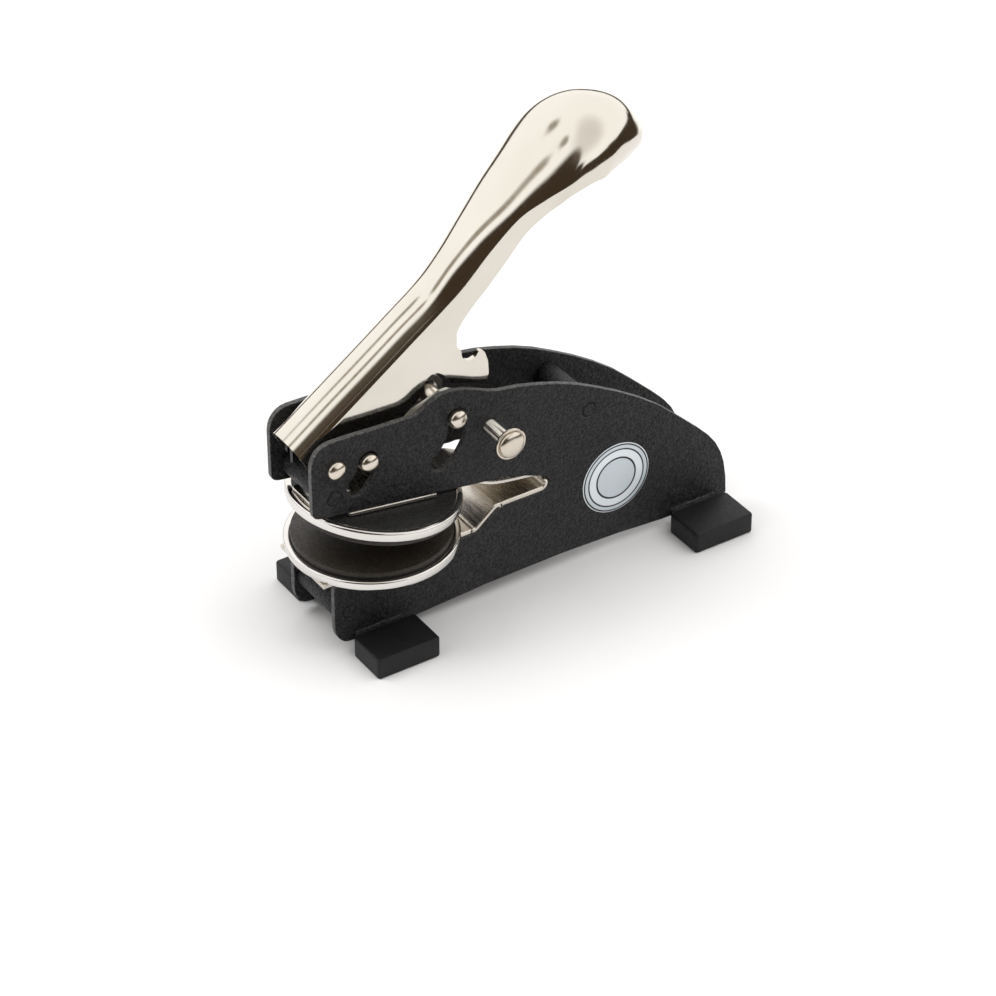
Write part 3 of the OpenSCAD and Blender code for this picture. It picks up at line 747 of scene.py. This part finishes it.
def strap():
    """One spring strip: lower leg, joggle, hairpin bend and the upper leg, drawn closed and then opened."""
    t = 1.2
    path = []

    def add(p, w):
        path.append((p[0], p[1], w))

    for k in range(22):
        add((-5.99 + 42.0 * k / 21 * 0.965, 21.0), 10.15)
    knee = [(34.8, 21.0), (36.4, 21.0), (37.8, 22.15), (40.9, 24.7), (42.2, 25.7), (44.4, 25.7)]
    sm = fillet(knee, 2.2, 6)
    sm = [q for q in sm if q[0] > 35.0 and q[0] < 44.3]
    sm.sort()
    for q in sm:
        add(q, 10.15)
    for k in range(8):
        add((44.6 + (55.0 - 44.6) * k / 7, 25.7), 10.15)
    for k in range(1, 18):
        a = math.radians(-90 + 10 * k)
        f = min(1, max(0, (k - 8) / 7))
        f = f * f * (3 - 2 * f)
        add((PB[0] + 1.7 * math.cos(a), PB[1] + 1.7 * math.sin(a)), 10.15 - 1.95 * f)
    up = [(54.6, 29.1), (52.0, 29.1), (48.0, 29.1), (44.4, 29.2), (41.25, 29.62), (38.3, 30.52), (36.0, 30.9)]
    for q in catmull(np.array(up), 4):
        add((q[0], q[1]), 8.2)
    for x in (34.0, 31.0, 28.0, 25.2):
        add((x, 30.9), 8.2)
    for x, w in ((25.0, 8.3), (24.95, 9.6), (24.7, 9.95), (20, 10.0), (14, 10.0), (8, 10.0), (1.0, 10.0), (0.7, 9.9), (0.5, 9.5), (0.45, 6.2),
                 (0.2, 6.0), (-3.0, 6.0), (-5.4, 6.0), (-5.8, 5.7), (-5.99, 5.2)):
        add((x, 30.9), w)
    verts, faces = [], []
    n = len(path)
    e = 0.26
    for i, (x, z, w) in enumerate(path):
        a = Vector(path[max(i - 1, 0)][:2])
        b = Vector(path[min(i + 1, n - 1)][:2])
        d = (b - a).normalized()
        nx, nz = -d.y, d.x
        ringp = [(-w + e, -t / 2), (w - e, -t / 2), (w, -t / 2 + e), (w, t / 2 - e), (w - e, t / 2), (-w + e, t / 2), (-w, t / 2 - e), (-w, -t / 2 + e)]
        for y, h in ringp:
            q = (x + nx * h, y, z + nz * h)
            verts.append(q)
    m = 8
    for i in range(n - 1):
        for k in range(m):
            faces.append((i * m + k, i * m + (k + 1) % m, (i + 1) * m + (k + 1) % m, (i + 1) * m + k))
    faces += [tuple(range(m)), tuple(range(n * m - 1, (n - 1) * m - 1, -1))]
    first_up = None
    for i, (x, z, w) in enumerate(path):
        if first_up is None and i > 20 and z > PB[1] and x <= PB[0] + 1.6:
            first_up = i
    out = []
    for i in range(n):
        x, z, w = path[i]
        ang = math.degrees(math.atan2(z - PB[1], x - PB[0]))
        if i < first_up - 3:
            f = 0.0
        elif x < PB[0] or ang > 80:
            f = 1.0
        else:
            f = min(1, max(0, ang / 80))
            f = f * f * (3 - 2 * f)
        for k in range(m):
            out.append(pt(*opened(verts[i * m + k], 8.5 * f)))
    ob = mesh_obj("die_strap", out, faces, True, 40)
    bm = bmesh.new()
    bm.from_mesh(ob.data)
    bmesh.ops.recalc_face_normals(bm, faces=bm.faces)
    bm.to_mesh(ob.data)
    bm.free()
    ob.data.set_sharp_from_angle(angle=math.radians(40))
    finish_piece(ob, None, "strap", "strap_lower", "carrier")
    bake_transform(ob)
    return ob


strap()

# ------------------------------------------------------------------ floor, light and background
fl = mesh_obj("floor", [(0.32 * math.cos(2 * math.pi * k / 96), 0.32 * math.sin(2 * math.pi * k / 96), 0) for k in range(96)], [range(96)], False)
m, nt, b, co = new_mat("pale_floor")
nt.links.new(ramp(nt, noise(nt, co, 3.0, 2.0), [(0.3, (0.70, 0.70, 0.705)), (0.7, (0.73, 0.73, 0.735))]), b.inputs["Base Color"])
b.inputs["Roughness"].default_value = 0.75
fl.data.materials.append(m)

world = bpy.data.worlds.new("studio")
bpy.context.scene.world = world
world.use_nodes = True
wn = world.node_tree
bg = wn.nodes["Background"]
geo = wn.nodes.new("ShaderNodeTexCoord")


def toward(az, el):
    a, e = math.radians(az), math.radians(el)
    return (math.sin(a) * math.cos(e), -math.cos(a) * math.cos(e), math.sin(e))


def spot(az, el, lo, hi):
    """0 far from a direction, 1 near it, between two angles in degrees."""
    d = wn.nodes.new("ShaderNodeVectorMath")
    d.operation = "DOT_PRODUCT"
    wn.links.new(geo.outputs["Generated"], d.inputs[0])
    d.inputs[1].default_value = toward(az, el)
    r = wn.nodes.new("ShaderNodeMapRange")
    r.interpolation_type = "SMOOTHSTEP"
    r.inputs["From Min"].default_value = math.cos(math.radians(hi))
    r.inputs["From Max"].default_value = math.cos(math.radians(lo))
    wn.links.new(d.outputs["Value"], r.inputs["Value"])
    return r.outputs["Result"]


def mixc(fac, a, b):
    m = wn.nodes.new("ShaderNodeMix")
    m.data_type = "RGBA"
    wn.links.new(fac, m.inputs["Factor"])
    for sock, v in ((m.inputs["A"], a), (m.inputs["B"], b)):
        if isinstance(v, tuple):
            sock.default_value = (*v, 1)
        else:
            wn.links.new(v, sock)
    return m.outputs["Result"]


sep = wn.nodes.new("ShaderNodeSeparateXYZ")
wn.links.new(geo.outputs["Generated"], sep.inputs[0])


def band(lo, hi):
    """1 below the first height of the direction, 0 above the second; sines of elevations."""
    r = wn.nodes.new("ShaderNodeMapRange")
    r.interpolation_type = "SMOOTHSTEP"
    for k, v in zip(("From Min", "From Max", "To Min", "To Max"), (lo, hi, 1.0, 0.0)):
        r.inputs[k].default_value = v
    wn.links.new(sep.outputs["Z"], r.inputs["Value"])
    return r.outputs["Result"]


BRIGHT, DARK, GREY = (1.40, 1.385, 1.37), (0.062, 0.043, 0.026), (0.42, 0.37, 0.30)
front = wn.nodes.new("ShaderNodeVectorMath")
front.operation = "DOT_PRODUCT"
wn.links.new(geo.outputs["Generated"], front.inputs[0])
front.inputs[1].default_value = toward(-38, 0)
side = wn.nodes.new("ShaderNodeVectorMath")
side.operation = "DOT_PRODUCT"
wn.links.new(geo.outputs["Generated"], side.inputs[0])
side.inputs[1].default_value = toward(76, 0)
right = wn.nodes.new("ShaderNodeVectorMath")
right.operation = "DOT_PRODUCT"
wn.links.new(geo.outputs["Generated"], right.inputs[0])
right.inputs[1].default_value = toward(20, 0)
hv = wn.nodes.new("ShaderNodeValue")
hv.outputs[0].default_value = 0.4
half = hv.outputs[0]


def product(a, b):
    m = wn.nodes.new("ShaderNodeMath")
    m.operation = "MULTIPLY"
    wn.links.new(a, m.inputs[0])
    wn.links.new(b, m.inputs[1])
    return m.outputs[0]


def smooth(sock, lo, hi):
    r = wn.nodes.new("ShaderNodeMapRange")
    r.interpolation_type = "SMOOTHSTEP"
    r.inputs["From Min"].default_value, r.inputs["From Max"].default_value = lo, hi
    wn.links.new(sock, r.inputs["Value"])
    return r.outputs["Result"]


sky = mixc(product(band(math.sin(math.radians(14)), math.sin(math.radians(22))), smooth(front.outputs["Value"], 0.62, 0.78)), BRIGHT, DARK)
sky = mixc(spot(-40, 28, 20, 32), sky, DARK)
sky = mixc(spot(-9, 6, 14, 19), sky, DARK)
sky = mixc(product(band(0.05, 0.12), smooth(right.outputs["Value"], 0.25, 0.5)), sky, DARK)
sky = mixc(product(band(0.10, 0.16), smooth(side.outputs["Value"], 0.80, 0.9)), sky, DARK)
sky = mixc(product(spot(8, 62, 3, 44), half), sky, GREY)
sky = mixc(spot(-101, 40, 3, 9), sky, GREY)
sky = mixc(spot(-98, 57, 1, 7), sky, GREY)
sky = mixc(spot(-144, 46, 1, 7), sky, GREY)
sky = mixc(product(band(0.03, 0.07), smooth(sep.outputs["Z"], -0.12, -0.08)), sky, DARK)
lp = wn.nodes.new("ShaderNodeLightPath")
sky = mixc(lp.outputs["Is Camera Ray"], sky, (1.2, 1.2, 1.2))
wn.links.new(sky, bg.inputs["Color"])
bg.inputs["Strength"].default_value = 1.0


def area(name, az, el, dist, size, power, color=(1, 1, 1), aim=(0, 0, 0.03)):
    li = bpy.data.lights.new(name, "AREA")
    li.shape, li.size, li.energy, li.color = "SQUARE", size, power, color
    ob = bpy.data.objects.new(name, li)
    bpy.context.scene.collection.objects.link(ob)
    ob.location = Vector(aim) + Vector(toward(az, el)) * dist
    ob.rotation_euler = (Vector(aim) - ob.location).to_track_quat("-Z", "Y").to_euler()
    ob.visible_glossy = False
    return ob


area("key", -125, 58, 1.0, 0.45, 3.5)
area("fill", 50, 62, 1.1, 0.8, 4)
bpy.context.scene.view_settings.view_transform = "Standard"
